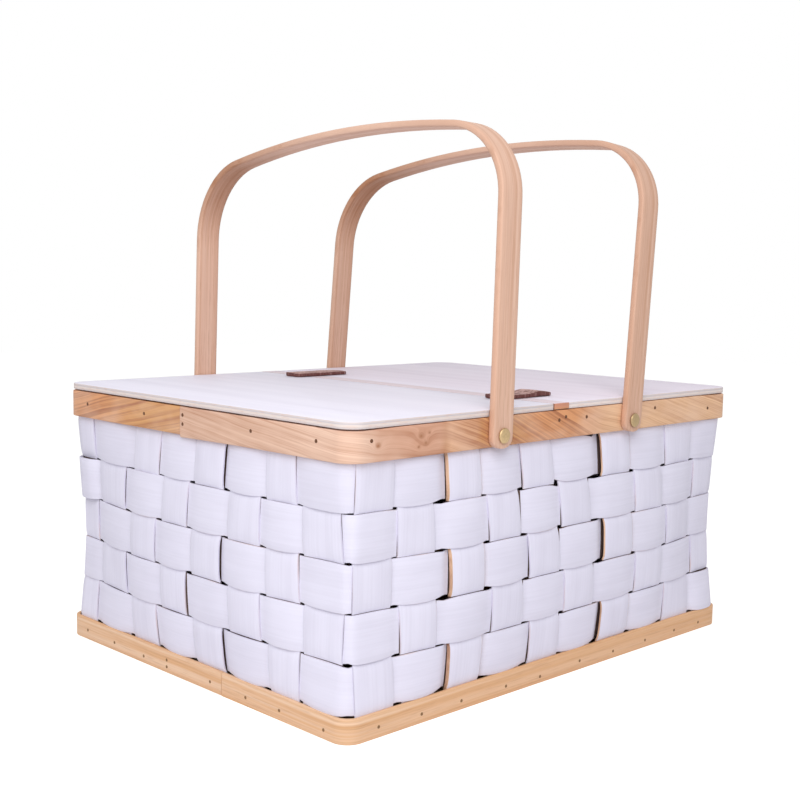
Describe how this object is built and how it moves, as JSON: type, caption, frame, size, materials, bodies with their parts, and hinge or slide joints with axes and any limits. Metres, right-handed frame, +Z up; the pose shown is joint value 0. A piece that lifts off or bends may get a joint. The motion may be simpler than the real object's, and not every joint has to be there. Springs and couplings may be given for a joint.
{
  "type": "picnic basket",
  "caption": "Rectangular woven-splint picnic basket with wooden bands, a pair of hinged plywood lids on leather straps and a pair of bent-wood swing handles.",
  "frame": {"origin": "on the ground under the middle of the basket, in the plane of the foot band's underside", "axes": "+X along the long side towards the right lid, +Y from the front to the back, +Z up"},
  "size_m": [0.4, 0.3262, 0.3734],
  "materials": {
    "painted_splint": "matt white wash over wood splint",
    "band_wood": "natural pale wood, satin",
    "handle_wood": "natural bent wood, satin",
    "lid_plywood": "white-washed plywood, matt",
    "leather": "dark reddish brown, suede-like top",
    "brass": "satin brass"
  },
  "bodies": {
    "basket": {"outer_rim_band": "band_wood", "inner_rim_band": "band_wood", "foot_band": "band_wood", "base_board": "band_wood", "crossbar": "band_wood", "left_stake_1": "painted_splint", "left_stake_2": "painted_splint", "left_stake_3": "painted_splint", "left_stake_4": "painted_splint", "left_stake_5": "painted_splint", "left_stake_6": "painted_splint", "left_stake_7": "painted_splint", "left_stake_8": "painted_splint", "front_stake_1": "painted_splint", "front_stake_2": "painted_splint", "front_stake_3": "painted_splint", "front_stake_4": "painted_splint", "front_stake_5": "painted_splint", "front_stake_6": "painted_splint", "front_stake_7": "painted_splint", "front_stake_8": "painted_splint", "front_stake_9": "painted_splint", "front_stake_10": "painted_splint", "right_stake_1": "painted_splint", "right_stake_2": "painted_splint", "right_stake_3": "painted_splint", "right_stake_4": "painted_splint", "right_stake_5": "painted_splint", "right_stake_6": "painted_splint", "right_stake_7": "painted_splint", "right_stake_8": "painted_splint", "back_stake_1": "painted_splint", "back_stake_2": "painted_splint", "back_stake_3": "painted_splint", "back_stake_4": "painted_splint", "back_stake_5": "painted_splint", "back_stake_6": "painted_splint", "back_stake_7": "painted_splint", "back_stake_8": "painted_splint", "back_stake_9": "painted_splint", "back_stake_10": "painted_splint", "weaver_row_1": "painted_splint", "weaver_row_2": "painted_splint", "weaver_row_3": "painted_splint", "weaver_row_4": "painted_splint", "weaver_row_5": "painted_splint", "front_strap_tab": "leather", "back_strap_tab": "leather", "left_front_rivet": "brass", "left_back_rivet": "brass", "right_front_rivet": "brass", "right_back_rivet": "brass"},
    "left_lid": {"left_lid": "lid_plywood", "front_strap_left_flap": "leather", "back_strap_left_flap": "leather"},
    "right_lid": {"right_lid": "lid_plywood", "front_strap_right_flap": "leather", "back_strap_right_flap": "leather"},
    "left_handle": {"left_handle": "handle_wood"},
    "right_handle": {"right_handle": "handle_wood"}
  },
  "joints": [
    {"name": "left_lid_hinge", "type": "hinge", "parent": "basket", "child": "left_lid", "pos_m": [-0.01845, 0, 0.1918], "axis": [0, 1, 0], "range_deg": [0, 62]},
    {"name": "right_lid_hinge", "type": "hinge", "parent": "basket", "child": "right_lid", "pos_m": [-0.00255, 0, 0.1918], "axis": [0, -1, 0], "range_deg": [0, 53]},
    {"name": "left_handle_swing", "type": "hinge", "parent": "basket", "child": "left_handle", "pos_m": [-0.0746, 0, 0.1725], "axis": [0, 1, 0], "range_deg": [-123, 15]},
    {"name": "right_handle_swing", "type": "hinge", "parent": "basket", "child": "right_handle", "pos_m": [0.0652, 0, 0.1725], "axis": [0, 1, 0], "range_deg": [-20, 114]}
  ]
}
